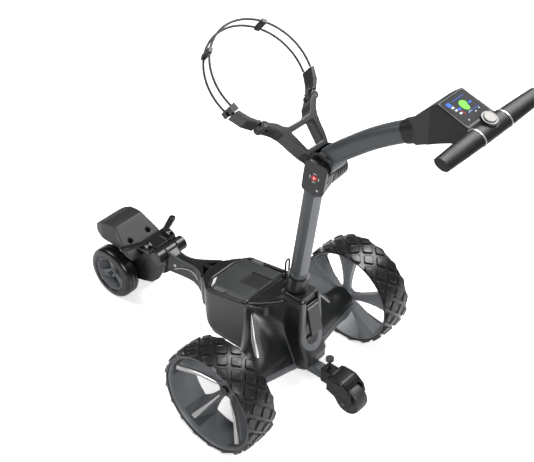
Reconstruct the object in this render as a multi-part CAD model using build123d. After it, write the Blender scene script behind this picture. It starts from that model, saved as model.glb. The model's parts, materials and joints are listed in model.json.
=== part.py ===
from build123d import *
import math
import os

# Three-wheel electric golf trolley, in millimetres.
# +X runs forward to the front wheels, +Y to the trolley's left, +Z up.
# Everything is laid out from the drive axle line (X = 0) and shifted on export, so that the
# origin lies on the ground under the middle of the overall length.

# ---------------------------------------------------------------- driving dimensions
# A name holding a pair of numbers is the (x, z) of a line that runs across the trolley.
X_SHIFT = -81.502         # drive axle to the middle of the overall length
RUN = 0.05                # running clearance, radial

DRIVE_R = 145.0           # drive wheel radius over the tread
DRIVE_W = 92.0            # drive tyre width
DRIVE_AXLE = (0, DRIVE_R)
DRIVE_AXLE_R = 6.0
TRACK_HALF = 263.0        # drive wheel mid-plane
BEARING_R = 13.0
BEARING_Y = 202.0         # inner face of the axle bearing

FRONT_R = 76.0            # front wheel radius
FRONT_AXLE = (598.0, FRONT_R)
FRONT_AXLE_R = 6.0

BARREL = (431.0, 204.0)   # front fold hinge
BARREL_R = 20.0
BARREL_HALF = 50.0
BARREL_PIN_R = 5.0

MAST_HINGE = (6.0, 318.0)  # lower fold hinge
MAST_HINGE_Z = MAST_HINGE[1]
MAST_PIN_R = 4.0
MAST_LEAN = 8.2           # degrees back from vertical
MAST_R = 22.0
MAST_POINT = Vector(-23.0, 0, 375.0)  # a point on the mast axis
MAST_TOP = 318.0          # top of the tube, along the axis from MAST_POINT

HEAD_HINGE = (-106.0, 744.0)  # upper fold hinge
HEAD_PIN_R = 6.0
KNUCKLE_R = 26.0
KNOB = (-62.0, 676.0)     # lock knob's stud in the head casting
KNOB_R = 34.0

RING_CENTRE = Vector(101.3, 0, 876.8)  # bag ring centre
RING_TILT = 39.46         # slope of the ring plane
RING_R = 131.0
CORD_R = 2.75
CORD_GAP = 30.0

BATTERY_TOP = Vector(150.0, 0, 264.0)  # point on the battery's top plane
BATTERY_TILT = 9.3
BATTERY_DEPTH = 100.0

STAB_Y = 13.0             # stabiliser tube half width
STAB_Z0, STAB_Z1 = 88.0, 115.0
LATCH_PIN = (-64.5, 301)
LATCH_PIN_R = 2.0

os.makedirs("parts", exist_ok=True)


# ---------------------------------------------------------------- helpers
MIN = (Align.CENTER, Align.CENTER, Align.MIN)


def largest(shape):
    """Largest solid of a result."""
    return sorted(shape.solids(), key=lambda solid: solid.volume)[-1]


def flip(shape):
    """Mirror to the other side of the trolley."""
    return mirror(shape, about=Plane.XZ)


def save(name, *shapes):
    solids = [solid for shape in shapes for solid in (Pos(X_SHIFT, 0, 0) * shape).solids()]
    out = solids[0] if len(solids) == 1 else Compound(children=solids)
    export_step(out, f"parts/{name}.step")


def save_pair(name, *left):
    save(f"{name}_left", *left)
    save(f"{name}_right", *[largest(flip(shape)) for shape in left])


def rod(start, end, r, end_r=None):
    """Cylinder between two points, or a cone where an end radius is given."""
    start = Vector(*start)
    along = Vector(*end) - start
    plane = Plane(origin=start, z_dir=along)
    if end_r is None:
        return plane * Cylinder(r, along.length, align=MIN)
    return plane * Cone(r, end_r, along.length, align=MIN)


def y_rod(line, r, y0, y1):
    """Cylinder along Y round an (x, z) line, its ends in either order."""
    x, z = line
    y0, y1 = sorted((y0, y1))
    return rod((x, y0, z), (x, y1, z), r)


def block(x0, x1, y0, y1, z0, z1):
    return Pos((x0 + x1) / 2, (y0 + y1) / 2, (z0 + z1) / 2) * Box(x1 - x0, y1 - y0, z1 - z0)


def from_side(outline, y0, y1):
    """(x, z) outline drawn out along Y."""
    face = make_face(Polyline(*[(x, y0, z) for x, z in outline], close=True))
    return extrude(face, amount=y1 - y0, dir=(0, 1, 0))


def from_above(outline, z0, z1):
    """(x, y) outline drawn out along Z."""
    face = make_face(Polyline(*[(x, y, z0) for x, y in outline], close=True))
    return extrude(face, amount=z1 - z0, dir=(0, 0, 1))


def mirrored(half):
    """Closed symmetric outline from its positive half."""
    return half + [(x, -y) for x, y in reversed(half)]


def slab_on(plane, outline, thickness):
    face = make_face(Polyline(*[(u, v, 0) for u, v in outline], close=True))
    return plane * extrude(face, amount=thickness)


def disc_on(plane, u, v, r, thickness):
    return plane * Pos(u, v, 0) * Cylinder(r, thickness, align=MIN)


def rounded(width, height, corner):
    return RectangleRounded(width, height, min(corner, width / 2 - 0.05, height / 2 - 0.05))


def rounded_at(origin, x_dir, z_dir, width, height, corner):
    return Plane(origin=origin, x_dir=x_dir, z_dir=z_dir) * rounded(width, height, corner)


def revolve_y(outline, line):
    """Revolves an (r, y) outline about an (x, z) line along Y."""
    face = make_face(Polyline(*[(r, y, 0) for r, y in outline], close=True))
    x, z = line
    return Pos(x, 0, z) * revolve(face, Axis((0, 0, 0), (0, 1, 0)), 360)


def spoke(line, degrees, stations):
    """Radial loft; stations are (radius, y, width, depth, corner)."""
    x, z = line
    cos, sin = math.cos(math.radians(degrees)), math.sin(math.radians(degrees))
    return loft([rounded_at((x + r * cos, y, z + r * sin), (-sin, 0, cos), (cos, 0, sin), *size)
                 for r, y, *size in stations], ruled=True)


def slope(degrees):
    """Unit vectors along and normal to a plane that rises forward."""
    cos, sin = math.cos(math.radians(degrees)), math.sin(math.radians(degrees))
    return Vector(cos, 0, sin), Vector(-sin, 0, cos)


MAST_ACROSS, MAST_ALONG = slope(MAST_LEAN)
RING_U, RING_N = slope(RING_TILT)
BATTERY_U, BATTERY_N = slope(-BATTERY_TILT)


def mast_at(along, across=0.0):
    return MAST_POINT + MAST_ALONG * along + MAST_ACROSS * across


def mast_rod(start, end, r):
    return rod(mast_at(start), mast_at(end), r)


def ring_plane(n=0.0):
    return Plane(origin=RING_CENTRE + RING_N * n, x_dir=RING_U, z_dir=RING_N)


def ring_plate(outline, n0, n1):
    return slab_on(ring_plane(n0), outline, n1 - n0)


def battery_plate(outline, n0, n1):
    plane = Plane(origin=BATTERY_TOP + BATTERY_N * n0, x_dir=BATTERY_U, z_dir=BATTERY_N)
    return slab_on(plane, outline, n1 - n0)


# ---------------------------------------------------------------- chassis
SPLIT_Z = 128.0                 # joint between tray and upper shell
PLUG_X, PLUG_Y = 66.0, -58.0
SCREW_POINTS = [(60, 62), (60, -62), (190, 62), (190, -62)]

# half outlines (x, y) and side outlines (x, z) of the hull and of its hollow
HULL_HALF = [(-90, 36), (-40, 46), (0, 66), (30, 84), (80, 87), (209, 88), (250, 54), (270, 28)]
HULL_SIDE = [
    (-66, 322), (3, 322), (12, 300), (74, 284), (79, 270), (250, 240), (266, 228), (270, 215),
    (270, 135), (235, 112), (172, 96), (119, 98), (40, 106), (-58, 108), (-84, 118), (-88, 148),
    (-69, 196)]
HOLLOW_HALF = [(-82, 31), (-38, 41), (4, 60), (34, 80), (82, 83), (206, 84), (246, 50), (265, 25)]
HOLLOW_SIDE = [
    (-61, 290), (-4, 290), (10, 288), (68, 280), (75, 265), (244, 236), (262, 224), (265, 212),
    (265, 138), (233, 116), (171, 100), (120, 102), (42, 110), (-56, 112), (-79, 121),
    (-83, 148), (-64, 197)]
# leg sections from the hull out to the wheel: y, centre x, centre z, width, height, corner
LEG_STATIONS = [
    (40, 22, 190, 180, 165, 40), (92, 12, 187, 150, 164, 44), (134, 0, 150, 106, 84, 36),
    (175, 0, 146, 88, 80, 36), (213, 0, 145, 78, 78, 38.5)]


def leg(grow):
    """Left leg, or with a negative growth its hollow."""
    faces = []
    for y, x, z, width, height, corner in LEG_STATIONS:
        if grow != 0:
            y = min(max(y, 36), 206)
        faces.append(rounded_at((x, y, z), (1, 0, 0), (0, 1, 0),
                                width + 2 * grow, height + 2 * grow, corner + grow))
    return loft(faces, ruled=True)


def battery_block(grow, n0, n1):
    """Battery outline square to its sloping top, grown by a margin."""
    half = [(-63 - grow, 74 + grow), (58 + grow * 0.4, 74 + grow), (81 + grow, 38 + grow * 0.4)]
    return battery_plate(mirrored(half), n0, n1)


def chassis_shell(bay_wall):
    leg_left, leg_hollow = leg(0), leg(-4)
    hull = from_above(mirrored(HULL_HALF), 90, 330) & from_side(HULL_SIDE, -100, 100)
    hollow = from_above(mirrored(HOLLOW_HALF), 80, 330) & from_side(HOLLOW_SIDE, -100, 100)
    outer = hull + leg_left + flip(leg_left)
    cavity = (hollow + leg_hollow + flip(leg_hollow)) - bay_wall
    shell = outer - cavity - battery_block(1.0, -BATTERY_DEPTH - 1.0, 60)

    # seat for the mast hinge in the top of the spine: a slot for the knuckle between two ears
    shell = shell - y_rod(MAST_HINGE, 11.6, -11.5, 11.5)
    shell = shell - block(-30, 30, -11.5, 11.5, MAST_HINGE_Z, 345)
    shell = shell - block(10, 32, -11.5, 11.5, 298, 345)
    ear = y_rod(MAST_HINGE, 9, 11.7, 28) + block(-3, 15, 11.7, 28, 295, MAST_HINGE_Z)
    shell = shell + (ear + flip(ear))
    shell = shell - y_rod(MAST_HINGE, MAST_PIN_R, -40, 40)

    # axle bore and bearing seats at the leg ends
    shell = shell - y_rod(DRIVE_AXLE, 9.0, -230, 230)
    for side in (1, -1):
        shell = shell - y_rod(DRIVE_AXLE, BEARING_R, side * BEARING_Y, side * 230)

    # recess in the back of the spine for the fold latch paddle
    shell = shell - from_side(
        [(-100, 330), (-60.0, 330), (-60.0, 292), (-64, 200), (-100, 200)], -22, 22)
    # socket in the tray floor for the stabiliser tube
    shell = shell - block(-110, -20, -STAB_Y - 0.02, STAB_Y + 0.02, 80, STAB_Z1)
    # opening for the battery plug at the bay's rear right corner
    return shell - block(PLUG_X - 9, PLUG_X + 5, PLUG_Y - 11, PLUG_Y + 11, 250, 300)


def leg_inserts():
    """Silver insert on each leg."""
    # x, y, z, width, corner
    stations = [(52, 92.5, 262, 3, 1.4), (22, 118, 222, 6, 2.9), (-14, 137, 184, 10, 3.9)]
    insert = loft([Plane(origin=(x, y, z), z_dir=(-0.55, 0.45, -0.9)) * rounded(width, 8, corner)
                   for x, y, z, width, corner in stations], ruled=True)
    return insert + flip(insert)


def rear_trim(upper, tray):
    """U-shaped trim round the latch."""
    # y, z
    outline = [(-31, 326), (-31, 190), (-22, 166), (22, 166), (31, 190), (31, 326),
               (23.0, 326), (23.0, 206), (-23.0, 206), (-23.0, 326)]
    face = make_face(Polyline(*[(-110, y, z) for y, z in outline], close=True))
    band = from_side([(-71.5, 326), (-66.2, 326), (-69.3, 196), (-84, 160), (-90, 160),
                      (-75, 200)], -40, 40)
    return largest((extrude(face, amount=70, dir=(1, 0, 0)) & band) - upper - tray)


def tray_and_screws(tray):
    """Tray with its four case screws, heads down, cut out of it."""
    screws = [largest(rod((x, y, 93.4), (x, y, 96.0), 4.0) + rod((x, y, 96.0), (x, y, 104), 2.0))
              for x, y in SCREW_POINTS]
    for screw in screws:
        tray = tray - screw
    return largest(tray), screws


def control_board(bay_wall):
    board = block(226, 229, -40, 40, 146, 200)
    for y in (-22, 0, 22):
        board = board + Pos(234, y, 170) * Box(10.2, 14, 22)
    board = board + Pos(232, 0, 190) * Box(6.2, 60, 8)
    return largest(board - bay_wall)


def battery_pack():
    pack = battery_block(0, -BATTERY_DEPTH, 0)
    # finger recess and side tabs on the lid
    pack = pack - battery_plate([(-40, -22), (2, -22), (2, 22), (-40, 22)], -1.2, 3.8)
    tab = battery_plate([(5, 74), (45, 74), (42, 80), (8, 80)], -9.0, -2.0)
    pack = largest(pack + tab + flip(tab))
    return largest(pack - block(PLUG_X - 9, PLUG_X + 6, PLUG_Y - 12, PLUG_Y + 12, 240, 300))


def battery_plug():
    """Plug with an upright loop of wire."""
    loop_r, wire_r, top = 7, 2.4, 329
    plug = block(PLUG_X - 8.5, PLUG_X + 4.5, PLUG_Y - 10.5, PLUG_Y + 10.5, 251, 285)
    legs = [rod((PLUG_X - 2, PLUG_Y + y, 283), (PLUG_X - 4, PLUG_Y + y, top), wire_r)
            for y in (-loop_r, loop_r)]
    half_ring = Torus(loop_r, wire_r) & Pos(-20, 0, 0) * Box(40, 60, 20)
    bend = Pos(PLUG_X - 4, PLUG_Y, top) * (Rot(0, 90, 0) * half_ring)
    return largest(plug + (legs[0] + legs[1] + bend))


bay_wall = battery_block(4.0, -BATTERY_DEPTH - 4.0, 60)
shell = chassis_shell(bay_wall)
below = block(-200, 400, -260, 260, 0, SPLIT_Z)
upper_shell = largest(shell - below)
lower_tray = largest(shell & below)
inserts = leg_inserts()
upper_shell = largest(upper_shell - inserts)
save("rear_trim", rear_trim(upper_shell, lower_tray))

# room in the upper shell for the battery tabs
tab_gap = battery_plate([(3.5, 70), (46.5, 70), (43.5, 81.5), (6.5, 81.5)], -10.5, 49.5)
save("upper_shell", largest(upper_shell - tab_gap - flip(tab_gap)))
lower_tray, case_screws = tray_and_screws(lower_tray)
save("lower_tray", lower_tray)
save("case_screws", *case_screws)
save("control_board", control_board(bay_wall))
save("battery_pack", battery_pack())
save("battery_plug", battery_plug())

# ---------------------------------------------------------------- neck
NECK_X = 270.0            # hull's front wall
NECK_HALF = 19.5


def neck_inlay():
    line = from_side([(402, 196), (376, 186), (336, 186), (334, 188.5), (375, 189), (400, 199)],
                     18.3, 20.4)
    return line + flip(line)


def neck_beam(inlay):
    """Beam whose nose wraps the barrel and whose tail meets the hull's front wall."""
    side = [(431, 223), (420, 218), (375, 208), (320, 221), (NECK_X, 232), (NECK_X, 137),
            (288, 158), (325, 164), (393, 152), (422, 150), (424, 184), (440, 190), (450, 204),
            (444, 219)]
    lower_side = [(NECK_X, 137), (288, 158), (325, 164), (393, 152), (422, 150), (424, 184),
                  (375, 188), (320, 198), (NECK_X, 200)]
    half = [(452, NECK_HALF), (400, 12), (370, 12), (330, 17), (NECK_X, NECK_HALF)]
    recess = [(292, 214), (318, 209), (318, 200), (296, 196)]

    neck = from_side(side, -NECK_HALF, NECK_HALF)
    waist = from_above(mirrored(half), 120, 240)
    tail = loft([rounded_at((NECK_X, 0, 183), (0, 1, 0), (1, 0, 0), 76, 92, 12),
                 rounded_at((312, 0, 190), (0, 1, 0), (1, 0, 0), 38, 58, 10)], ruled=True)
    neck = (neck & waist) + from_side(lower_side, -NECK_HALF, NECK_HALF) + tail
    neck = neck + y_rod(BARREL, BARREL_R - 0.3, -20.5, 20.5)
    # trim everything behind the hull's front wall
    neck = neck - from_above([(262, 0), (262, 40), (NECK_X, 40), (NECK_X, -40), (262, -40)],
                             100, 260)
    neck = neck - block(200, NECK_X, -60, 60, 100, 260)
    neck = neck - from_side(recess, 8, 40) - from_side(recess, -40, -8)
    neck = largest(neck - y_rod(BARREL, BARREL_PIN_R, -30, 30))
    return largest(neck - inlay)


inlay = neck_inlay()
save("neck_beam", neck_beam(inlay))
save("trim_inserts", *inserts.solids(), *inlay.solids())


# ---------------------------------------------------------------- drive units inside the legs
def drive_motor(side):
    return largest(y_rod(DRIVE_AXLE, 29.5, side * 18.0, side * 96.0)
                   + y_rod(DRIVE_AXLE, 12.0, side * 12.0, side * 18.0))


def gearbox(side):
    box = y_rod(DRIVE_AXLE, 31.0, side * 96.0, side * 150.0)
    box = box + y_rod(DRIVE_AXLE, 15.0, side * 150.0, side * 158.0)
    return largest(box - y_rod(DRIVE_AXLE, DRIVE_AXLE_R + RUN, side * 130.0, side * 160.0))


def axle_bearing(side):
    return largest(y_rod(DRIVE_AXLE, BEARING_R, side * BEARING_Y, side * 212.0)
                   - y_rod(DRIVE_AXLE, DRIVE_AXLE_R + RUN, side * 200.0, side * 214.0))


for name, build in (("drive_motors", drive_motor), ("gearboxes", gearbox),
                    ("axle_bearings", axle_bearing)):
    save(name, build(1), build(-1))

save("fold_pins",
     y_rod(MAST_HINGE, MAST_PIN_R, -28, 28),
     y_rod(BARREL, BARREL_PIN_R, -45, 45),
     y_rod(LATCH_PIN, LATCH_PIN_R, -22, 22))

# ---------------------------------------------------------------- front leg, bag base, levers
CHEEK_Y = 20.7            # inner face of the leg's side plates
STAY_BORE_R = 7.5         # bag stay bores in the bag base
LEDGE_TOP = 213.5
LEVER = (470.0, 221.0)    # strap lever pivot
LEVER_PIN_R = 2.5


def base_leg():
    side = [(446, 219), (412, 212), (411, 200), (425, 170), (433, 143), (452, 108), (478, 84),
            (510, 72), (560, 58), (598, 58), (610, 66), (614, 80), (606, 96), (588, 128),
            (566, 152), (520, 190), (508, 204), (500, 213)]
    bridge = [(492, 205), (507, 205), (520, 190), (552, 162), (548, 140), (520, 96), (500, 96),
              (492, 130)]
    plate = from_side(side, CHEEK_Y, 28.5) - y_rod(BARREL, BARREL_PIN_R, 20, 60)
    body = plate + flip(plate)
    barrel_end = y_rod(BARREL, BARREL_R, CHEEK_Y, BARREL_HALF)
    body = body + barrel_end + flip(barrel_end)
    body = body + from_side(bridge, -21, 21)
    ledge = from_above(mirrored([(454, 21), (454, 50), (506, 50)]), 204, LEDGE_TOP)
    body = body + (ledge - y_rod(BARREL, 24.0, -CHEEK_Y, CHEEK_Y))
    wheel_room = y_rod(FRONT_AXLE, FRONT_R + 4, 29, 90)
    body = body - wheel_room - flip(wheel_room)
    body = body - y_rod(FRONT_AXLE, FRONT_AXLE_R, -40, 40)
    return largest(body - y_rod(BARREL, BARREL_PIN_R + RUN, -46, 46))


def base_shell(leg_body):
    side = [(506.5, 163.5), (586, 229.5), (605, 230), (630, 225), (652, 215), (668, 203),
            (672, 192), (670, 174), (650, 166), (614, 164), (580, 164)]
    half = [(500, 66), (540, 63), (586, 50), (640, 52), (672, 44)]
    body = from_side(side, -80, 80) & from_above(mirrored(half), 140, 260)
    body = body - leg_body
    _, bore_axis = slope(39.5)
    for y in (33.0, -33.0):
        centre = Vector(546.2, y, 196.0)
        body = body - rod(centre - bore_axis * 22.0, centre + bore_axis * 25.0, STAY_BORE_R)
    return largest(body)


def lever_bracket():
    """Clevis box that carries the left strap lever."""
    cheek = [(458, LEDGE_TOP), (480, LEDGE_TOP), (477.5, 224), (471, 228), (462, 224)]
    bracket = (from_above([(456, 30.5), (456, 50), (486, 58), (486, 30.5)], LEDGE_TOP, 217)
               + from_side(cheek, 31, 34.5) + from_side(cheek, 46, 49.5))
    return largest(bracket - y_rod(LEVER, LEVER_PIN_R, 20, 60) - y_rod(LEVER, 5.8, 34.55, 45.95))


def strap_lever():
    """Hub between the cheeks, short arm forward, blade splayed outwards past them."""
    lever = y_rod(LEVER, 5.5, 34.7, 45.8)
    lever = lever + from_above(
        [(470, 35), (470, 45.6), (480.5, 45.6), (480.8, 52), (500, 96), (507, 102), (517, 99),
         (519, 91), (497, 47), (492, 35)], 219.2, 225.0)
    lever = lever + from_above(
        [(499, 84), (503, 95), (509, 99), (514, 97), (515, 91), (511, 82)], 225.0, 227.2)
    return largest(lever - y_rod(LEVER, LEVER_PIN_R + RUN, 20, 70))


leg_body = base_leg()
save("base_leg", leg_body)
save("base_shell", base_shell(leg_body))
bracket = lever_bracket()
save("lever_brackets", bracket, largest(flip(bracket)))
save_pair("strap_lever", strap_lever())

# ---------------------------------------------------------------- front wheels
FRONT_RIM_R = 51.0


def front_tyre():
    edge = FRONT_RIM_R + 3
    groove = 73.5
    return revolve_y([
        (FRONT_RIM_R, 32), (edge, 30.5), (66, 30), (74, 34), (FRONT_R, 40), (FRONT_R, 45),
        (groove, 46.5), (FRONT_R, 48), (FRONT_R, 58), (groove, 59.5), (FRONT_R, 61),
        (FRONT_R, 66), (74, 72), (66, 76), (edge, 75.5), (FRONT_RIM_R, 74)], FRONT_AXLE)


def front_rim():
    rim = revolve_y([(FRONT_RIM_R, 32), (FRONT_RIM_R, 74), (FRONT_RIM_R - 4, 74),
                     (FRONT_RIM_R - 5, 62), (FRONT_RIM_R - 5, 32)], FRONT_AXLE)
    rim = rim + y_rod(FRONT_AXLE, 13, 30.5, 68)
    for k in range(3):
        rim = rim + spoke(FRONT_AXLE, 90 + 120 * k, [(10, 55, 16, 14, 3), (47.5, 60, 26, 12, 3)])
    return largest(rim - y_rod(FRONT_AXLE, FRONT_AXLE_R + RUN, 20, 90))


save_pair("front_tyre", front_tyre())
save_pair("front_rim", front_rim())
lever_pin = y_rod(LEVER, LEVER_PIN_R, 31, 49.5)
save("front_pins", y_rod(FRONT_AXLE, FRONT_AXLE_R, -79, 79), lever_pin, largest(flip(lever_pin)))

# ---------------------------------------------------------------- drive wheels
RIM_OUT_R = 131.0         # rim barrel outside
RIM_IN_R = 127.0          # rim barrel inside
SPOKES = 5
SPOKE_ANGLES = [16.0 + 360.0 / SPOKES * k for k in range(SPOKES)]  # degrees from +X
TYRE_Y0, TYRE_Y1 = TRACK_HALF - DRIVE_W / 2, TRACK_HALF + DRIVE_W / 2
RIM_Y0, RIM_Y1 = TYRE_Y0 + 3, TYRE_Y1 - 3
BUTTON_R = 8.0            # stem of the hub button
# radius, y, width, depth, corner
SPOKE_STATIONS = [(18, 230, 20, 18, 4), (70, 244, 24, 22, 4), (128.5, 262, 40, 48, 5)]
BLADE_STATIONS = [(30, 244.4, 5, 6, 1.5), (70, 257.5, 7, 6, 2), (124, 286.5, 15, 6, 2)]


def drive_axle():
    axle = y_rod(DRIVE_AXLE, DRIVE_AXLE_R, 132, 238)
    return largest(axle + y_rod(DRIVE_AXLE, 9.0, 214.5, 217.5))


def drive_tyre():
    return revolve_y([
        (RIM_OUT_R, RIM_Y0), (RIM_OUT_R + 2, TYRE_Y0), (135, TYRE_Y0), (141, TYRE_Y0 + 7),
        (143.8, TYRE_Y0 + 20), (DRIVE_R, TRACK_HALF), (143.8, TYRE_Y1 - 20), (141, TYRE_Y1 - 7),
        (135, TYRE_Y1), (RIM_OUT_R + 2, TYRE_Y1), (RIM_OUT_R, RIM_Y1)], DRIVE_AXLE)


def drive_rim():
    rim = revolve_y([(RIM_OUT_R, RIM_Y0), (RIM_OUT_R, RIM_Y1), (RIM_IN_R + 1, RIM_Y1),
                     (RIM_IN_R, TYRE_Y1 - 8), (RIM_IN_R, RIM_Y0)], DRIVE_AXLE)
    rim = rim + y_rod(DRIVE_AXLE, 24, 219, 241)
    for angle in SPOKE_ANGLES:
        rim = rim + spoke(DRIVE_AXLE, angle, SPOKE_STATIONS)
    # keep the spokes inside the rim barrel
    core = y_rod(DRIVE_AXLE, RIM_IN_R + 2.0, RIM_Y0, RIM_Y1)
    rim = rim & (core + revolve_y([(RIM_IN_R - 2, RIM_Y0), (RIM_OUT_R, RIM_Y0),
                                   (RIM_OUT_R, RIM_Y1), (RIM_IN_R - 2, RIM_Y1)], DRIVE_AXLE))
    return (rim - y_rod(DRIVE_AXLE, DRIVE_AXLE_R + RUN, 200, 239)
            - y_rod(DRIVE_AXLE, BUTTON_R + RUN, 233.0, 260))


def hub_button():
    return largest(y_rod(DRIVE_AXLE, BUTTON_R, 240.5, 246.5)
                   + y_rod(DRIVE_AXLE, 12.0, 243.8, 248.0))


rim = drive_rim()
save_pair("drive_axle", drive_axle())
save_pair("drive_tyre", drive_tyre())
save_pair("drive_rim", largest(rim))
save_pair("spoke_blades", *[largest(spoke(DRIVE_AXLE, angle, BLADE_STATIONS) - rim)
                            for angle in SPOKE_ANGLES])
save_pair("hub_button", hub_button())

# ---------------------------------------------------------------- stabiliser (anti-tip)
ROLLER = (-200.0, 70.0)
ROLLER_R = 38.0
ROLLER_AXLE_R = 5.0
LOCK_X = -128             # locking screw
LOCK_R = 3.0


def stabiliser_tube():
    return largest(block(-112, -21, -STAB_Y, STAB_Y, STAB_Z0, STAB_Z1)
                   - block(-113, -24, -10.5, 10.5, STAB_Z0 + 2.5, STAB_Z1 - 2.5))


def stabiliser_fork():
    fork = block(-112, -70, -10.45, 10.45, STAB_Z0 + 2.55, STAB_Z1 - 2.55)
    fork = fork + from_side([(-112.3, 84), (-112.3, 126), (-146, 127), (-152, 127), (-152, 84)],
                            -16, 16)
    fork = fork + block(-156, -143, -31, 31, 83, 124)
    cheek = from_side([(-143, 119), (-152, 127), (-188, 127), (-214, 108), (-221, 88),
                       (-214, 58), (-200, 52), (-182, 60), (-168, 76), (-151, 81)], 23, 31)
    fork = fork + cheek + flip(cheek)
    fork = fork - y_rod(ROLLER, ROLLER_AXLE_R, -40, 40)
    return largest(fork - rod((LOCK_X, 0, 104), (LOCK_X, 0, 140), LOCK_R + RUN))


def stabiliser_roller():
    bore = ROLLER_AXLE_R + RUN
    return revolve_y([
        (bore, -21), (14, -21), (16, -18), (32, -18), (ROLLER_R - 2, -20), (ROLLER_R, -14),
        (ROLLER_R, 14), (ROLLER_R - 2, 20), (32, 18), (16, 18), (14, 21), (bore, 21)], ROLLER)


def locking_screw():
    return largest(rod((LOCK_X, 0, 108), (LOCK_X, 0, 146), LOCK_R)
                   + rod((LOCK_X, 0, 146), (LOCK_X, 0, 153), 5.0, 9.0)
                   + rod((LOCK_X, 0, 153), (LOCK_X, 0, 160), 10.5))


def fold_latch():
    """Latch paddle in the back of the spine."""
    latch = from_side([(-60.5, 300), (-62.5, 300), (-71.0, 296), (-86.0, 222), (-84.0, 217),
                       (-79, 217), (-66.5, 286), (-62.0, 292)], -20, 20)
    latch = latch + y_rod(LATCH_PIN, 4.0, -20, 20)
    return largest(latch - y_rod(LATCH_PIN, LATCH_PIN_R + RUN, -30, 30))


save("stabiliser_tube", stabiliser_tube())
save("stabiliser_fork", stabiliser_fork())
save("stabiliser_axle", y_rod(ROLLER, ROLLER_AXLE_R, -33, 33))
save("stabiliser_roller", stabiliser_roller())
save("locking_screw", locking_screw())
save("fold_latch", fold_latch())

# ---------------------------------------------------------------- mast
TUBE_FOOT = -38           # lower end of the tube along the mast


def mast_foot():
    foot = mast_rod(-44, -4, 27.0) - mast_rod(TUBE_FOOT, 0, MAST_R)
    knuckle = y_rod(MAST_HINGE, 11.0, -11, 11) + from_side(
        [(-12, 322.5), (8, 322.5), (15, 323), (12, 336), (-20, 333)], -11, 11)
    foot = foot + (knuckle - mast_rod(TUBE_FOOT, 10, MAST_R))
    return largest(foot - y_rod(MAST_HINGE, MAST_PIN_R + RUN, -20, 20))


save("mast_foot", mast_foot())
save("mast_tube", largest(mast_rod(TUBE_FOOT, MAST_TOP, MAST_R)
                          - mast_rod(TUBE_FOOT + 2, MAST_TOP + 1, MAST_R - 2.2)))

# ---------------------------------------------------------------- bag yoke and mast head
EYE_U, EYE_V = -102, 84   # arm eye in the ring plane
EYE_PIN_R = 3.0
YOKE_HALF_T = 19          # half thickness of the yoke
FORK_Y = 23.6             # inner face of the upper hinge cheeks

REMOTE = Vector(-95.5, 42.0, 710.0)
REMOTE_YAW = math.radians(10)
REMOTE_N = Vector(-math.sin(REMOTE_YAW), math.cos(REMOTE_YAW), 0)
REMOTE_UP = (MAST_ALONG - REMOTE_N * MAST_ALONG.dot(REMOTE_N)).normalized()
REMOTE_X = REMOTE_UP.cross(REMOTE_N).normalized()


def remote_plane(depth):
    return Plane(origin=REMOTE + REMOTE_N * depth, x_dir=REMOTE_X, z_dir=REMOTE_N)


def yoke_blank():
    """Yoke that carries the bag ring, before it is fitted round the mast."""
    outer = [(-99, 94), (-106, 93), (-113, 81), (-127, 66), (-143, 56), (-160, 50), (-180, 45),
             (-200, 38), (-216, 30), (-236, 29)]
    inner = [(-99, 76), (-106, 66), (-114, 54), (-126, 45), (-133, 34), (-134, 0)]
    outline = mirrored(outer) + [(u, -v) for u, v in inner] + list(reversed(inner[:-1]))
    yoke = ring_plate(outline, -YOKE_HALF_T, YOKE_HALF_T)
    yoke = yoke - ring_plate([(-147, 36), (-147, -36), (-198, -26), (-198, 26)], -30, 30)
    yoke = yoke - ring_plate([(-211, 24), (-211, -24), (-224, -20), (-224, 20)], -30, 30)
    # the web round the larger window is thinner than the rim
    yoke = yoke - ring_plate([(-141, 43), (-141, -43), (-203, -29), (-203, 29)], -30, 4)
    # arm eyes and their slots
    for v in (EYE_V, -EYE_V):
        yoke = yoke + disc_on(ring_plane(-YOKE_HALF_T), EYE_U, v, 10, 2 * YOKE_HALF_T)
        yoke = yoke - disc_on(ring_plane(-8.2), EYE_U, v, 16, 16.4)
        yoke = yoke - disc_on(ring_plane(-30), EYE_U, v, EYE_PIN_R, 60)
    return yoke


def mast_head(yoke):
    """Head casting: block, cheeks for the upper hinge, cradle for the handset."""
    knuckle_room = y_rod(HEAD_HINGE, KNUCKLE_R + 1.0, -FORK_Y, FORK_Y)
    handle_room = from_side([(-70, 800), (-98, 706), (-112, 697), (-200, 690), (-200, 800)],
                            -FORK_Y, FORK_Y)
    # along the mast, across it, width, depth, corner
    stations = [(276, -2, 50, 52, 20), (300, -4, 50, 62, 16), (362, -6, 52, 62, 14)]
    head = loft([rounded_at(mast_at(along, across), (0, 1, 0), MAST_ALONG, *size)
                 for along, across, *size in stations], ruled=True)
    head = head - mast_rod(270, MAST_TOP, MAST_R)
    for y0, y1 in ((FORK_Y, 28.5), (-28.5, -FORK_Y)):
        head = head + y_rod(HEAD_HINGE, 27.0, y0, y1)
        head = head + from_side([(-106, 771), (-78, 764), (-58, 745), (-60, 690), (-100, 690),
                                 (-124, 724)], y0, y1)
    head = head - knuckle_room
    head = head - handle_room

    mast_room = mast_rod(200, MAST_TOP, MAST_R)
    cradle = remote_plane(-22) * extrude(rounded(52, 78, 9), amount=12.0)
    cradle = cradle - knuckle_room
    cradle = cradle - handle_room
    cradle = cradle - mast_room
    head = head + cradle
    head = head + y_rod(KNOB, KNOB_R - 1.0, -29.0, -20.0)
    head = head - mast_room - remote_plane(-9.3) * extrude(rounded(60, 90, 10), amount=40)
    head = head - yoke
    head = head - y_rod(HEAD_HINGE, HEAD_PIN_R, -60, 60)
    head = head - y_rod(KNOB, HEAD_PIN_R, -60, -24.0)
    return largest(head)


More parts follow.
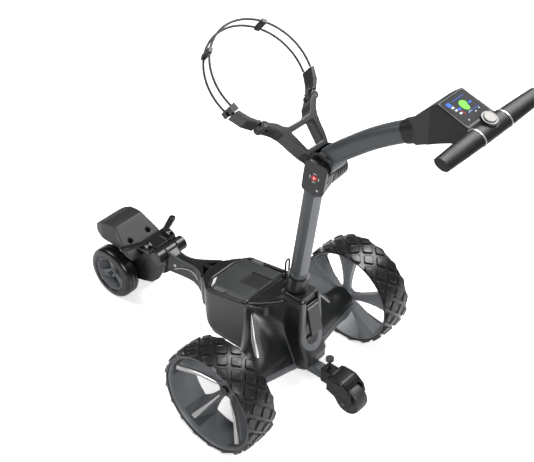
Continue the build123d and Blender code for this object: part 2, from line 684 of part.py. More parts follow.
def bag_yoke(yoke):
    handle_room = from_side([(-80, 790), (-98, 706), (-200, 692), (-200, 800)], -60, 60)
    return largest(yoke - mast_rod(200, MAST_TOP + 2, MAST_R)
                   - y_rod(HEAD_HINGE, KNUCKLE_R + 1.0, -60, 60) - handle_room)


yoke = yoke_blank()
save("mast_head", mast_head(yoke))
save("bag_yoke", bag_yoke(yoke))
save("head_pins",
     y_rod(HEAD_HINGE, HEAD_PIN_R, -28.5, 28.5),
     y_rod(KNOB, HEAD_PIN_R, -74, -24.0),
     *[disc_on(ring_plane(-YOKE_HALF_T), EYE_U, v, EYE_PIN_R, 2 * YOKE_HALF_T)
       for v in (EYE_V, -EYE_V)])

# ---------------------------------------------------------------- yoke tips and cords
CORD_START, CORD_END = -109.0, 103.5  # degrees round the ring from RING_U


def arm_tip():
    """Left arm tip, swinging on the yoke."""
    tip = ring_plate([(-95, 96), (-75, 117), (-60, 124), (-46, 131.5), (-44, 121), (-60, 112),
                      (-73, 104), (-86, 92), (-90, 80)], -YOKE_HALF_T, YOKE_HALF_T)
    tip = tip - disc_on(ring_plane(-30), EYE_U, EYE_V, 12.5, 60)
    tongue = ring_plate([(-102, 92), (-95, 94), (-86, 100), (-80, 96), (-92, 76), (-102, 76)],
                        -7.5, 7.5) + disc_on(ring_plane(-7.5), EYE_U, EYE_V, 8.5, 15)
    return tip + tongue - disc_on(ring_plane(-30), EYE_U, EYE_V, EYE_PIN_R + RUN, 60)


def left_tip(tip):
    """Arm tip with a catch, cut back above and below it to clear the cord latch."""
    room = [(-46, 100), (-46, 150), (-20, 150), (-20, 100)]
    tip = largest(tip + ring_plate([(-47, 131), (-45, 121), (-36, 124), (-34, 133)], -4, 4))
    return largest(tip - ring_plate(room, -25, -4.0) - ring_plate(room, 4.0, 25))


def right_tip(tip, cords):
    tip = largest(flip(tip))
    for cord in cords:
        tip = largest(tip - cord)
    return tip


def ring_cord(n):
    arc = ring_plane(n) * CenterArc((0, 0), RING_R, CORD_START, CORD_END - CORD_START)
    return sweep(Plane(origin=arc @ 0, z_dir=arc % 0) * Circle(CORD_R), path=arc)


def cord_joiner(degrees, cords):
    joiner = ring_plane(-20) * Rot(0, 0, degrees) * Pos(RING_R, 0, 0) * Box(9, 12, 40, align=MIN)
    for cord in cords:
        joiner = joiner - cord
    return largest(joiner)


def cord_latch(cords):
    """Block the cords end in, slotted for the left tip's catch."""
    latch = ring_plate([(-26.0, 119), (-29.0, 137), (-44, 137), (-43.0, 117)],
                       -YOKE_HALF_T, YOKE_HALF_T)
    latch = latch - ring_plate([(-32.5, 100), (-33.5, 150), (-60, 150), (-60, 100)], -4.5, 4.5)
    for cord in cords:
        latch = latch - cord
    return largest(latch)


tip = arm_tip()
cords = [ring_cord(n) for n in (-CORD_GAP / 2, CORD_GAP / 2)]
save("yoke_tip_left", left_tip(tip))
save("yoke_tip_right", right_tip(tip, cords))
save("cord_loops", *[cord.solids()[0] for cord in cords])
save("cord_joiners", cord_joiner(42, cords), cord_joiner(-42, cords))
save("cord_latch", cord_latch(cords))


# ---------------------------------------------------------------- remote handset
def remote_disc(depth, r, thickness):
    return disc_on(remote_plane(depth), 0, 2, r, thickness)


case = remote_plane(-8.7) * extrude(rounded(56, 84, 10), amount=8.7)
save("remote_case", largest(case - remote_disc(-3.0, 16.0, 8)))
save("remote_pad", largest(remote_disc(-2.2, 15.7, 2.8) - remote_disc(-5, 7.2, 20)))
save("remote_stop", largest(remote_disc(-2.2, 6.9, 3.4)))

# ---------------------------------------------------------------- handle and lock knob
HANDLE_PATH = Spline(
    (-104, 0, 752), (-121, 0, 768), (-165.5, 0, 806.5), (-216.3, 0, 847.5), (-300, 0, 903),
    (-322, 0, 916), tangents=[(-0.73, 0, 0.69), (-0.865, 0, 0.50)])
HANDLE_HALF = 23.3


def handle_sweep(width, height, corner):
    return sweep(rounded_at(HANDLE_PATH @ 0, (0, 1, 0), HANDLE_PATH % 0, width, height, corner),
                 path=HANDLE_PATH)


def handle_tube(outer):
    """Hollow tube, left solid near its hinge knuckle."""
    handle = outer - (handle_sweep(39, 41, 14.5) - y_rod(HEAD_HINGE, 46, -60, 60))
    handle = handle + y_rod(HEAD_HINGE, KNUCKLE_R, -HANDLE_HALF, HANDLE_HALF)
    handle = handle & block(-330, 0, -HANDLE_HALF, HANDLE_HALF, 600, 1100)
    return largest(handle - y_rod(HEAD_HINGE, HEAD_PIN_R + RUN, -60, 60))


def lock_knob():
    """Tapered knob on the right of the head, with five grooves round it."""
    x, z = KNOB
    knob = (y_rod(KNOB, KNOB_R, -38, -29.2)
            + rod((x, -38, z), (x, -83, z), KNOB_R, KNOB_R - 2.5)
            + rod((x, -83, z), (x, -87, z), KNOB_R - 2.5, KNOB_R - 6.5))
    for k in range(5):
        y = -45.0 - 8.0 * k
        knob = knob - (y_rod(KNOB, 50, y - 1.5, y + 1.5)
                       - y_rod(KNOB, 30.6 - 0.45 * k, y - 2, y + 2))
    return largest(knob - y_rod(KNOB, HEAD_PIN_R + RUN, -75, -20))


handle_outer = handle_sweep(44, 46, 17)
save("handle_tube", handle_tube(handle_outer))
save("lock_knob", lock_knob())

# ---------------------------------------------------------------- display, dial and T-bar
BAR_X, BAR_Z = -489.0, 991.0  # T-bar centre
BAR_A, BAR_B = 21.2, 14.6     # T-bar half axes
BAR_HALF = 163.0
HOUSING_HALF = 44.0           # half width of the housing at the bar
BAND_W = 3.0

FACE_FORWARD, FACE_N = slope(17.3)  # display face
FACE_X = -FACE_FORWARD
SCREEN = Vector(-428.5, 0, 1012.4)
DIAL = Vector(-483.0, 0, 1008.0)
DIAL_STEM_R = 5.0


def bar_ellipse(y, a, b, side=1, x_offset=0):
    return Plane(origin=(BAR_X + x_offset, y, BAR_Z), x_dir=FACE_X,
                 z_dir=(0, side, 0)) * Ellipse(a, b)


def screen_slab(depth, width, height, corner, thickness):
    plane = Plane(origin=SCREEN - FACE_N * depth, x_dir=FACE_X, z_dir=FACE_N)
    return plane * extrude(rounded(width, height, corner), amount=thickness)


def dial_rod(start, end, r, end_r=None):
    """Round along the face normal, measured from the dial centre."""
    return rod(DIAL + FACE_N * start, DIAL + FACE_N * end, r, end_r)


def display_housing(handle_outer):
    side = [(-313, 943), (-336, 968), (-370, 1006), (-390.9, 1024.1), (-465.2, 1001.0),
            (-480, 1003), (-489, 991), (-494, 979), (-470, 969), (-400, 936), (-368, 918),
            (-342, 900), (-330, 902)]
    half = [(-300, 15), (-318, 20), (-338, 28), (-378, 42), (-450, 44), (-510, 44)]
    house = from_side(side, -50, 50) & from_above(mirrored(half), 850, 1050)
    # collar that takes the end of the tube
    collar_dir = Vector(-0.865, 0, 0.50).normalized()
    collar = Vector(-301.5, 0, 903.9)
    house = house + loft([
        rounded_at(collar, (0, 1, 0), collar_dir, 49, 51, 19),
        rounded_at(collar + collar_dir * 50, (0, 1, 0), collar_dir, 52, 54, 18)], ruled=True)
    house = house + extrude(bar_ellipse(-HOUSING_HALF, BAR_A + 0.5, BAR_B + 0.5),
                            amount=2 * HOUSING_HALF)
    house = house - handle_outer
    # pocket for the screen, bore and seat for the dial
    house = house - screen_slab(2.5, 68.4, 74.4, 4.1, 30)
    house = house - dial_rod(-14, 40, DIAL_STEM_R + RUN)
    return largest(house - dial_rod(-1.8, 40, 19.6))


def speed_dial():
    dial = dial_rod(-1.5, 5.5, 18.6, 17.6) - dial_rod(1.0, 20, 13.4)
    return largest(dial + dial_rod(-12, -1.4, DIAL_STEM_R))


def grip_band(side):
    face = bar_ellipse(side * HOUSING_HALF, BAR_A + 1.3, BAR_B + 1.3, side)
    return largest(extrude(face, amount=BAND_W))


def hand_grip(side):
    # y, taper of the two half axes, x offset
    stations = [(HOUSING_HALF + BAND_W, 0, 0, 0), (105.0, 1.2, 1.2, -0.5),
                (BAR_HALF, 3.2, 2.8, -1)]
    return largest(loft([bar_ellipse(side * y, BAR_A - taper_a, BAR_B - taper_b, side, x_offset)
                         for y, taper_a, taper_b, x_offset in stations], ruled=True))


save("display_housing", display_housing(handle_outer))
save("display_screen", largest(screen_slab(2.4, 68, 74, 4, 2.2)))
save("speed_dial", speed_dial())
save("dial_cap", largest(dial_rod(3.5, 8.0, 13.1, 12.2)))
save("grip_bands", grip_band(1), grip_band(-1))
save("hand_grips", hand_grip(1), hand_grip(-1))
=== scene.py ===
import json
import math

import bmesh
import bpy
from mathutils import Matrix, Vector
from mathutils.bvhtree import BVHTree


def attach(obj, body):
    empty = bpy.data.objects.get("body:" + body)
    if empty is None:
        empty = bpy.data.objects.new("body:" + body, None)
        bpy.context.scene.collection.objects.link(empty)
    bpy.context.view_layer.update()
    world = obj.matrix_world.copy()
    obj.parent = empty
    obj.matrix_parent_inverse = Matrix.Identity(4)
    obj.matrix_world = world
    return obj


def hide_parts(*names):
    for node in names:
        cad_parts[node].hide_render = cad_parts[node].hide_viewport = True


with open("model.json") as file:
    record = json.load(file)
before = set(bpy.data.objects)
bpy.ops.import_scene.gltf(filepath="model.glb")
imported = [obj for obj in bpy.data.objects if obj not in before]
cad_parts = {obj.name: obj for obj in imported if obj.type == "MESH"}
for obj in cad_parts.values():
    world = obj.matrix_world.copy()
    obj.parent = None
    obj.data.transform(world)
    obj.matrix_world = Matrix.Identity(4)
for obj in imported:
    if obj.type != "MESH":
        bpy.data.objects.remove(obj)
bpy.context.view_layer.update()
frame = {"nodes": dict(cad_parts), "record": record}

MM = 0.001
X_SHIFT = -81.502  # from the drive axle to the frame's origin
SIDES = (("left", 1), ("right", -1))


def to_frame(p):
    return ((p[0] + X_SHIFT) * MM, p[1] * MM, p[2] * MM)


# ---------------------------------------------------------------- materials
MATERIALS = {}


def rgba(color, gain=1, lift=0):
    return tuple(min(1, c * gain + lift) for c in color) + (1,)


def add_node(tree, kind, inputs=None):
    node = tree.nodes.new("ShaderNode" + kind)
    for key, value in (inputs or {}).items():
        node.inputs[key].default_value = value
    return node


def material(name, color, rough, metallic=0.0, tint=0.18, bump=0.05, grain=900.0, edge_highlight=0.25,
             spec=0.5, stretch=(1, 1, 1), glow=0.0):
    """tint: colour variation; grain: scale of the bumps; the edge setting is a painted highlight,
    lighter on exposed edges; glow: emission.
    """
    mat = bpy.data.materials.new(name)
    mat.use_nodes = True
    mat.diffuse_color = rgba(color)
    tree = mat.node_tree
    tree.nodes.clear()
    link = tree.links.new
    output = add_node(tree, "OutputMaterial")
    shader = add_node(tree, "BsdfPrincipled", {
        "Metallic": metallic, "Specular IOR Level": spec, "Coat Roughness": 0.15})
    if glow:
        shader.inputs["Emission Color"].default_value = rgba(color)
        shader.inputs["Emission Strength"].default_value = glow
    link(shader.outputs[0], output.inputs[0])

    coords = add_node(tree, "TexCoord")
    mapping = add_node(tree, "Mapping", {"Scale": stretch})
    broad = add_node(tree, "TexNoise", {"Scale": 14.0, "Detail": 4.0})
    fine = add_node(tree, "TexNoise", {"Scale": grain, "Detail": 3.0})
    link(coords.outputs["Object"], mapping.inputs[0])
    link(mapping.outputs[0], broad.inputs["Vector"])
    link(mapping.outputs[0], fine.inputs["Vector"])

    # Colour: slow variation, then a painted highlight, lighter on exposed edges
    ramp = add_node(tree, "ValToRGB")
    for stop, position, gain in zip(ramp.color_ramp.elements, (0.3, 0.7), (1 - tint, 1 + tint)):
        stop.position, stop.color = position, rgba(color, gain)
    link(broad.outputs[0], ramp.inputs[0])
    # Pointiness picks out the convex edges that get the painted highlight
    geometry = add_node(tree, "NewGeometry")
    edges = add_node(tree, "MapRange", {"From Min": 0.52, "From Max": 0.62, "To Max": edge_highlight})
    link(geometry.outputs["Pointiness"], edges.inputs["Value"])
    mix = add_node(tree, "Mix")
    mix.data_type = "RGBA"
    mix.inputs["B"].default_value = rgba(color, gain=1.9, lift=0.02)
    link(edges.outputs[0], mix.inputs["Factor"])
    link(ramp.outputs[0], mix.inputs["A"])
    link(mix.outputs["Result"], shader.inputs["Base Color"])

    gloss = add_node(tree, "MapRange", {"To Min": rough - 0.08, "To Max": rough + 0.08})
    link(broad.outputs[0], gloss.inputs["Value"])
    link(gloss.outputs[0], shader.inputs["Roughness"])
    relief = add_node(tree, "Bump", {"Strength": bump, "Distance": 0.0006})
    link(fine.outputs[0], relief.inputs["Height"])
    link(relief.outputs[0], shader.inputs["Normal"])
    MATERIALS[name] = mat


material("body_black", (0.0066, 0.0073, 0.0076), rough=0.31, bump=0.07, grain=1400, edge_highlight=0.18)
material("slate_trim", (0.050, 0.054, 0.062), rough=0.45, bump=0.10, grain=1400)
material("slate_metal", (0.042, 0.047, 0.052), rough=0.40, bump=0.06, grain=1800, tint=0.08)
material("rim_grey", (0.120, 0.126, 0.136), rough=0.45, bump=0.08, grain=1500, tint=0.08)
material("slate_light", (0.085, 0.090, 0.100), rough=0.42, bump=0.08, grain=1500, tint=0.08)
material("belly_slate", (0.020, 0.022, 0.028), rough=0.48, bump=0.10, grain=1400)
material("plate_grey", (0.042, 0.045, 0.049), rough=0.42, bump=0.08, grain=1500, tint=0.08)
material("tyre", (0.0068, 0.0068, 0.0067), rough=0.31, bump=0.20, grain=700, edge_highlight=0.5)
material("roller_rubber", (0.014, 0.014, 0.014), rough=0.5, bump=0.25, grain=700)
material("silver_insert", (0.46, 0.46, 0.45), rough=0.36, metallic=0.85, tint=0.05)
material("satin_band", (0.62, 0.60, 0.55), rough=0.34, metallic=0.8, bump=0.06, tint=0.04,
         stretch=(1, 8, 1))
material("steel", (0.13, 0.13, 0.135), rough=0.42, metallic=0.9, bump=0.10, tint=0.05)
material("drive_unit", (0.30, 0.30, 0.31), rough=0.45, metallic=0.9, bump=0.2, grain=500)
material("board", (0.03, 0.14, 0.07), rough=0.35, bump=0.1)
material("battery_grey", (0.030, 0.032, 0.032), rough=0.45, bump=0.18, grain=1100)
material("battery_dark", (0.012, 0.012, 0.013), rough=0.45, bump=0.15, grain=1100)
material("clip_grey", (0.075, 0.078, 0.078), rough=0.48, bump=0.12, grain=1100)
# Painted light: the white marks glow so they stay bright where they face away from the lamps
material("white_mark", (0.78, 0.78, 0.77), rough=0.45, bump=0.04, tint=0.03, edge_highlight=0.0, glow=0.22)
material("cord", (0.016, 0.017, 0.018), rough=0.45, bump=0.3, grain=1600)
# Painted shade: body black made darker for the stabiliser fork and hood, so they stay dark under
# the key light
material("fork_shaded_black", (0.0036, 0.0038, 0.0040), rough=0.34, bump=0.07, grain=1400, edge_highlight=0.1,
         spec=0.28)
material("grip", (0.0048, 0.0051, 0.0051), rough=0.46, bump=0.10, grain=1500, edge_highlight=0.1, spec=0.32)
material("house_black", (0.0066, 0.0073, 0.0076), rough=0.44, bump=0.07, grain=1400, edge_highlight=0.1,
         spec=0.30)
# Painted light: black made lighter on the bag base, so its top reads as lit from above
material("base_lit_black", (0.0150, 0.0158, 0.0165), rough=0.50, bump=0.08, grain=1400, edge_highlight=0.15)
material("tyre_gloss", (0.0042, 0.0042, 0.0043), rough=0.24, bump=0.08, grain=700, edge_highlight=0.2)
material("glass_screen", (0.022, 0.023, 0.025), rough=0.55, bump=0.0, spec=0.08, tint=0.05,
         edge_highlight=0.0)
material("dial_black", (0.010, 0.010, 0.011), rough=0.25)
material("dial_silver", (0.20, 0.195, 0.185), rough=0.50, metallic=0.55, bump=0.25, grain=2600,
         tint=0.12, stretch=(1, 14, 1))
material("button_pale", (0.34, 0.36, 0.36), rough=0.5, bump=0.06)
material("button_red", (0.55, 0.022, 0.018), rough=0.38, edge_highlight=0.1)
for name, color, glow in (("px_green", (0.13, 0.66, 0.05), 0.30),
                          ("px_blue", (0.025, 0.10, 0.55), 0.30),
                          ("px_red", (0.60, 0.03, 0.03), 0.20),
                          ("px_pale", (0.42, 0.46, 0.48), 0.10)):
    material(name, color, rough=0.5, glow=glow, tint=0.05, edge_highlight=0.0, spec=0.1)


# ---------------------------------------------------------------- flat outlines
def flip(points):
    """The outline mirrored across its first axis, walked the other way."""
    return [(a, -b) for a, b in reversed(points)]


def both_halves(half):
    return half + flip(half)


def rect(a0, a1, b0, b1):
    return [(a0, b0), (a1, b0), (a1, b1), (a0, b1)]


def rounded_rect(half_a, half_b, radius, steps):
    points = []
    for sa, sb, start in ((1, 1, 0), (-1, 1, 90), (-1, -1, 180), (1, -1, 270)):
        for k in range(steps + 1):
            angle = math.radians(start + 90.0 * k / steps)
            points.append((sa * (half_a - radius) + radius * math.cos(angle),
                           sb * (half_b - radius) + radius * math.sin(angle)))
    return points


def round_poly(points, radius, steps=5):
    """Replaces each corner with a quadratic curve."""
    rounded = []
    for i, point in enumerate(points):
        corner = Vector(point)
        back = Vector(points[i - 1]) - corner
        ahead = Vector(points[(i + 1) % len(points)]) - corner
        reach = min(radius, back.length * 0.45, ahead.length * 0.45)
        start, end = corner + back.normalized() * reach, corner + ahead.normalized() * reach
        for j in range(steps + 1):
            t = j / steps
            spot = start * (1 - t) ** 2 + corner * 2 * t * (1 - t) + end * t * t
            rounded.append((spot.x, spot.y))
    return rounded


def arc_band(r0, r1, a0, a1, center, steps):
    angles = [math.radians(a0 + (a1 - a0) * k / steps) for k in range(steps + 1)]
    cx, cy = center
    return ([(cx + r1 * math.cos(a), cy + r1 * math.sin(a)) for a in angles]
            + [(cx + r0 * math.cos(a), cy + r0 * math.sin(a)) for a in reversed(angles)])


# ---------------------------------------------------------------- solids, as (points, faces)
def vec(*values):
    return Vector(values)


ORIGIN, X, Y, Z = vec(0, 0, 0), vec(1, 0, 0), vec(0, 1, 0), vec(0, 0, 1)
# A plane is its origin, the two axes of its outlines, and its normal
SIDE_VIEW = (ORIGIN, X, Z, Y)
TOP_VIEW = (ORIGIN, X, Y, Z)


def lay(points, plane, height):
    """Places a flat outline at a height above a plane."""
    origin, u, v, normal = plane
    return [origin + u * a + v * b + normal * height for a, b in points]


def ellipse(center, u, v, a, b, n):
    angles = [2 * math.pi * k / n for k in range(n)]
    return [center + u * (a * math.cos(q)) + v * (b * math.sin(q)) for q in angles]


def rect_ring(center, u, v, half_u, half_v, radius):
    return [center + u * a + v * b for a, b in rounded_rect(half_u, half_v, radius, 5)]


def loft(rings, closed=False):
    """Skins equal rings; the last joins the first if closed, otherwise both ends are capped."""
    n, count = len(rings[0]), len(rings)
    points = [tuple(p) for ring in rings for p in ring]
    faces = []
    for i in range(count if closed else count - 1):
        a, b = i * n, ((i + 1) % count) * n
        for k in range(n):
            faces.append((a + k, a + (k + 1) % n, b + (k + 1) % n, b + k))
    if not closed:
        faces.append(tuple(range(n)))
        faces.append(tuple((count - 1) * n + k for k in reversed(range(n))))
    return points, faces


def prism(points, plane, h0, h1):
    return loft([lay(points, plane, h0), lay(points, plane, h1)])


def box(x0, x1, y0, y1, z0, z1):
    return prism(rect(x0, x1, y0, y1), TOP_VIEW, z0, z1)


def cylinder(x, z, radius, y0, y1, n=48):
    """Cylinder along Y."""
    return loft([ellipse(vec(x, y, z), X, Z, radius, radius, n) for y in (y0, y1)])


def revolve(profile, x, z, n):
    """Closed (radius, y) outline turned about the Y line through x, z."""
    rings = []
    for k in range(n):
        a = 2 * math.pi * k / n
        rings.append([vec(x + r * math.cos(a), y, z + r * math.sin(a)) for r, y in profile])
    return loft(rings, closed=True)


def smooth_path(points, steps):
    """Catmull-Rom curve through the points."""
    p = [Vector(q) for q in points]
    p = [p[0] * 2 - p[1]] + p + [p[-1] * 2 - p[-2]]
    path = []
    for i in range(1, len(p) - 2):
        a, b, c, d = p[i - 1:i + 3]
        for k in range(steps):
            t = k / steps
            path.append(0.5 * ((2 * b) + (c - a) * t + (2 * a - 5 * b + 4 * c - d) * t * t
                               + (3 * b - a - 3 * c + d) * t ** 3))
    path.append(p[-2])
    return path


def direction(path, i):
    return (path[min(i + 1, len(path) - 1)] - path[max(i - 1, 0)]).normalized()


def tube(path, radius, n):
    rings, u = [], direction(path, 0).orthogonal().normalized()
    for i, point in enumerate(path):
        along = direction(path, i)
        u = (u - along * u.dot(along)).normalized()
        rings.append(ellipse(point, u, along.cross(u), radius, radius, n))
    return loft(rings)


def mirror(part):
    points, faces = part
    return [(p[0], -p[1], p[2]) for p in points], [tuple(reversed(f)) for f in faces]


def on_side(parts, side):
    """Parts drawn for the left, mirrored when the side is -1."""
    return [p if side > 0 else mirror(p) for p in parts]


# ---------------------------------------------------------------- meshes and objects
def mesh_from(parts):
    """Joins solids in mm into one mesh in metres."""
    points, faces = [], []
    for part_points, part_faces in parts:
        start = len(points)
        points += [to_frame(p) for p in part_points]
        faces += [tuple(i + start for i in f) for f in part_faces]
    mesh = bpy.data.meshes.new("mesh")
    mesh.from_pydata(points, [], faces)
    bm = bmesh.new()
    bm.from_mesh(mesh)
    bmesh.ops.recalc_face_normals(bm, faces=bm.faces)
    bm.to_mesh(mesh)
    bm.free()
    return mesh


def link_object(name, data):
    ob = bpy.data.objects.new(name, data)
    bpy.context.scene.collection.objects.link(ob)
    return ob


def bake(mesh, modifiers):
    """Runs (kind, settings) modifiers on a mesh and returns the result."""
    ob = link_object("bake", mesh)
    for kind, settings in modifiers:
        modifier = ob.modifiers.new(kind, kind)
        for key, value in settings.items():
            setattr(modifier, key, value)
    bpy.context.view_layer.update()
    depsgraph = bpy.context.evaluated_depsgraph_get()
    baked = bpy.data.meshes.new_from_object(ob.evaluated_get(depsgraph))
    bpy.data.objects.remove(ob)
    return baked


def fuse(parts, voxel, smooth):
    return bake(mesh_from(parts), [
        ("REMESH", {"mode": "VOXEL", "voxel_size": voxel * MM}),
        ("SMOOTH", {"factor": 0.5, "iterations": smooth})])


def shrink(mesh, depth):
    return bake(mesh, [("DISPLACE", {"strength": -depth * MM, "mid_level": 0.0})])


def boolean(mesh, part, operation="DIFFERENCE"):
    cutter = link_object("cut", mesh_from([part]))
    cut = bake(mesh, [("BOOLEAN", {"operation": operation, "solver": "MANIFOLD",
                                   "object": cutter})])
    bpy.data.objects.remove(cutter)
    return cut


def cut_each(mesh, parts):
    for part in parts:
        mesh = boolean(mesh, part)
    return mesh


def add_bevel(ob, width, angle):
    bevel = ob.modifiers.new("edge", "BEVEL")
    bevel.width, bevel.segments, bevel.limit_method = width * MM, 2, "ANGLE"
    bevel.angle_limit, bevel.harden_normals = math.radians(angle), True


def add_mesh(name, mesh, body, mat, slot=None, replaces=(), bevel=0.0, angle=35):
    """Adds a finished mesh riding on a body; angle is where its edges turn sharp."""
    mesh.name = name
    for p in mesh.polygons:
        p.use_smooth = True
    mesh.set_sharp_from_angle(angle=math.radians(angle))
    mesh.materials.clear()
    mesh.materials.append(MATERIALS[mat])
    ob = link_object(name, mesh)
    if bevel:
        add_bevel(ob, bevel, angle)
    if replaces:
        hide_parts(*replaces)
    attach(ob, body)


def add_piece(name, parts, body, mat, slot=None, **options):
    add_mesh(name, mesh_from(parts), body, mat, slot, **options)


# ---------------------------------------------------------------- driving dimensions
AXLE_Z = 145.0
AXLE_BORE = 9.2
HULL_HALF = 213  # half width across the wheel legs
NECK_X = 270.4  # where the hull ends and the neck takes over

# The battery lid's plane, falling towards the front
LID_TILT = math.radians(9.3)
LID = (vec(150, 0, 264), vec(math.cos(LID_TILT), 0, -math.sin(LID_TILT)), Y,
       vec(math.sin(LID_TILT), 0, math.cos(LID_TILT)))
BAY = both_halves([(-64, 75), (58.4, 75), (81, 38.4)])
BAY_GAP = [(3.5, 70), (46.5, 70), (43.5, 82), (6.5, 82)]  # notch in the bay's left wall
BAY_CUTS = [prism(BAY, LID, -101, 70), prism(BAY_GAP, LID, -10.5, 60),
            prism(flip(BAY_GAP), LID, -10.5, 60)]

# ---------------------------------------------------------------- hull
# Half outlines of the tub: x, y
TUB_RIM = [(20, 70), (60, 86), (209, 88), (250, 54), (270, 28)]
TUB_FLOOR = [(30, 60), (60, 74), (205, 75), (236, 46), (252, 22)]
# Spine stations: z, rear x, half width, front x
SPINE = [(104, -52, 40, 60), (118, -84, 41, 60), (148, -88, 41, 55), (172, -78, 41.5, 50),
         (196, -69, 41.5, 40), (250, -67.5, 41, 30), (300, -66.5, 38, 14), (318, -66, 35, 4),
         (325.5, -62, 31, -4)]
# Deck stations: x, half width, top z
DECK = [(-36, 28, 318), (-16, 40, 308), (10, 56, 297), (45, 74, 286), (74, 83, 277)]
DECK_FLOOR = 190
# Side-view outlines (x, z) of the hull and its wheel legs, by distance y from the middle
LEG_SECTIONS = [
    (0, [(-50, 98), (-52, 106), (-40, 150), (-22, 200), (-12, 250), (-4, 296), (74, 283),
         (72, 190), (70, 98)]),
    (40, [(-48, 98), (-54, 111), (-38, 150), (-18, 200), (-8, 250), (0, 296), (74, 282),
          (74, 190), (70, 98)]),
    (62, [(-44, 100), (-50, 117), (-42, 152), (-12, 200), (16, 250), (30, 280), (74, 276),
          (76, 190), (70, 100)]),
    (84, [(-42, 103), (-50, 122), (-43, 152), (-10, 200), (30, 245), (54, 268), (76, 266),
          (78, 190), (72, 104)]),
    (96, [(-41, 105), (-49, 125), (-43, 152), (-14, 196), (20, 230), (44, 252), (70, 250),
          (78, 185), (70, 106)]),
    (120, [(-38, 108), (-47, 130), (-43, 152), (-26, 180), (0, 206), (22, 218), (46, 205),
           (62, 165), (56, 110)]),
    (150, [(-32, 110), (-43, 130), (-44, 146), (-33, 168), (-10, 184), (14, 186), (38, 172),
           (50, 145), (40, 110)]),
    (182, [(-30, 110), (-38, 118), (-41, 145), (-30, 170), (-8, 182), (12, 182), (32, 168),
           (41, 145), (32, 110)]),
    (HULL_HALF, [(-20, 112), (-27, 118), (-38, 145), (-27, 172), (-8, 182.5), (10, 182.5),
                 (30, 169), (38.5, 145), (27, 118)])]


def tub_top(x):
    return 270 - (x - 79) * 0.1754


def tub_bottom(x):
    return 97 + max(0, x - 205) * 0.5


def tub():
    outer = round_poly(both_halves(TUB_RIM), 16, 4)
    inner = round_poly(both_halves(TUB_FLOOR), 12, 4)
    return loft([[vec(x, y, tub_bottom(x)) for x, y in inner],
                 [vec(x, y, tub_bottom(x) + 32) for x, y in outer],
                 [vec(x, y, tub_top(x)) for x, y in outer]])


def spine():
    return loft([rect_ring(vec((x0 + x1) / 2, 0, z), X, Y, (x1 - x0) / 2, half, 11)
                 for z, x0, half, x1 in SPINE])


def deck():
    return loft([rect_ring(vec(x, 0, (top + DECK_FLOOR) / 2), Y, Z, half,
                           (top - DECK_FLOOR) / 2, 8) for x, half, top in DECK])


def wheel_legs(steps=4):
    """Hermite blend through the side-view sections, right to left."""
    left = [(y, round_poly(outline, 12, 3)) for y, outline in LEG_SECTIONS]
    rows = [(-y, outline) for y, outline in reversed(left[1:])] + left
    rings = []
    for i in range(len(rows) - 1):
        (ya, a), (yb, b) = rows[max(i - 1, 0)], rows[i]
        (yc, c), (yd, d) = rows[i + 1], rows[min(i + 2, len(rows) - 1)]

        def blend(j, axis, t):
            slope_b = (c[j][axis] - a[j][axis]) / (yc - ya) * (yc - yb)
            slope_c = (d[j][axis] - b[j][axis]) / (yd - yb) * (yc - yb)
            return ((2 * t ** 3 - 3 * t * t + 1) * b[j][axis] + (t ** 3 - 2 * t * t + t) * slope_b
                    + (3 * t * t - 2 * t ** 3) * c[j][axis] + (t ** 3 - t * t) * slope_c)

        for k in range(steps):
            t = k / steps
            rings.append([vec(blend(j, 0, t), yb + (yc - yb) * t, blend(j, 1, t))
                          for j in range(len(b))])
    y, outline = rows[-1]
    rings.append([vec(x, y, z) for x, z in outline])
    return loft(rings)


REAR_SLOT = box(-130, -20, -13.3, 13.3, 60, 115.2)
# Axle bores in the leg ends, then flat faces at the neck and at each leg end
END_CUTS = [cylinder(0, AXLE_Z, AXLE_BORE, 196, 240), cylinder(0, AXLE_Z, AXLE_BORE, -240, -196),
            box(NECK_X, 320, -90, 90, 60, 300),
            box(-90, 60, HULL_HALF, 240, 60, 240), box(-90, 60, -240, -HULL_HALF, 60, 240)]
BACK_RECESS = [(-110, 335), (-60.0, 335), (-60.0, 292), (-64, 200), (-110, 200)]
TOP_SLOT = 11.8  # half width of the slot across the top of the spine

hull = cut_each(fuse([tub(), spine(), deck(), wheel_legs()], voxel=2.2, smooth=5), [
    *BAY_CUTS,
    prism(BACK_RECESS, SIDE_VIEW, -22, 22),
    REAR_SLOT,
    box(57, 71.5, -69.5, -46.5, 248, 330),
    cylinder(6, 318, 12.0, -TOP_SLOT, TOP_SLOT),
    box(-34, 34, -TOP_SLOT, TOP_SLOT, 317, 350),
    *END_CUTS])

# Everything under the line where the shell meets the tray. Rear part: y, seam z
REAR_SEAM = [(-260, 148), (-150, 144), (-80, 132), (-30, 117),
             (30, 117), (80, 132), (150, 144), (260, 148)]
FRONT_SEAM = [(96, 20), (96, 122), (114, 150), (140, 160), (206, 167), (300, 182), (300, 20)]
rear_low = loft([[vec(x, y, z) for x, z in ((-200, 20), (92, 20), (92, 100), (74, seam),
                                            (-200, seam))] for y, seam in REAR_SEAM])
front_low = prism(round_poly(FRONT_SEAM, 8), SIDE_VIEW, -260, 260)

shell = cut_each(hull, [rear_low, front_low])
tray = boolean(hull, rear_low, "INTERSECT")
add_mesh("body_shell", shell, "chassis", "body_black", replaces=("upper_shell",), angle=40)

# The tray stands a little proud of the shell above it, so its ledge shows
tray = cut_each(shrink(tray, -2.2), [REAR_SLOT, *END_CUTS])
add_mesh("tray_rear", tray, "chassis", "slate_trim", replaces=("lower_tray",), angle=40)
belly = boolean(shrink(hull, 1.5), front_low, "INTERSECT")
add_mesh("tray_belly", belly, "chassis", "belly_slate", "slate_trim", angle=40)


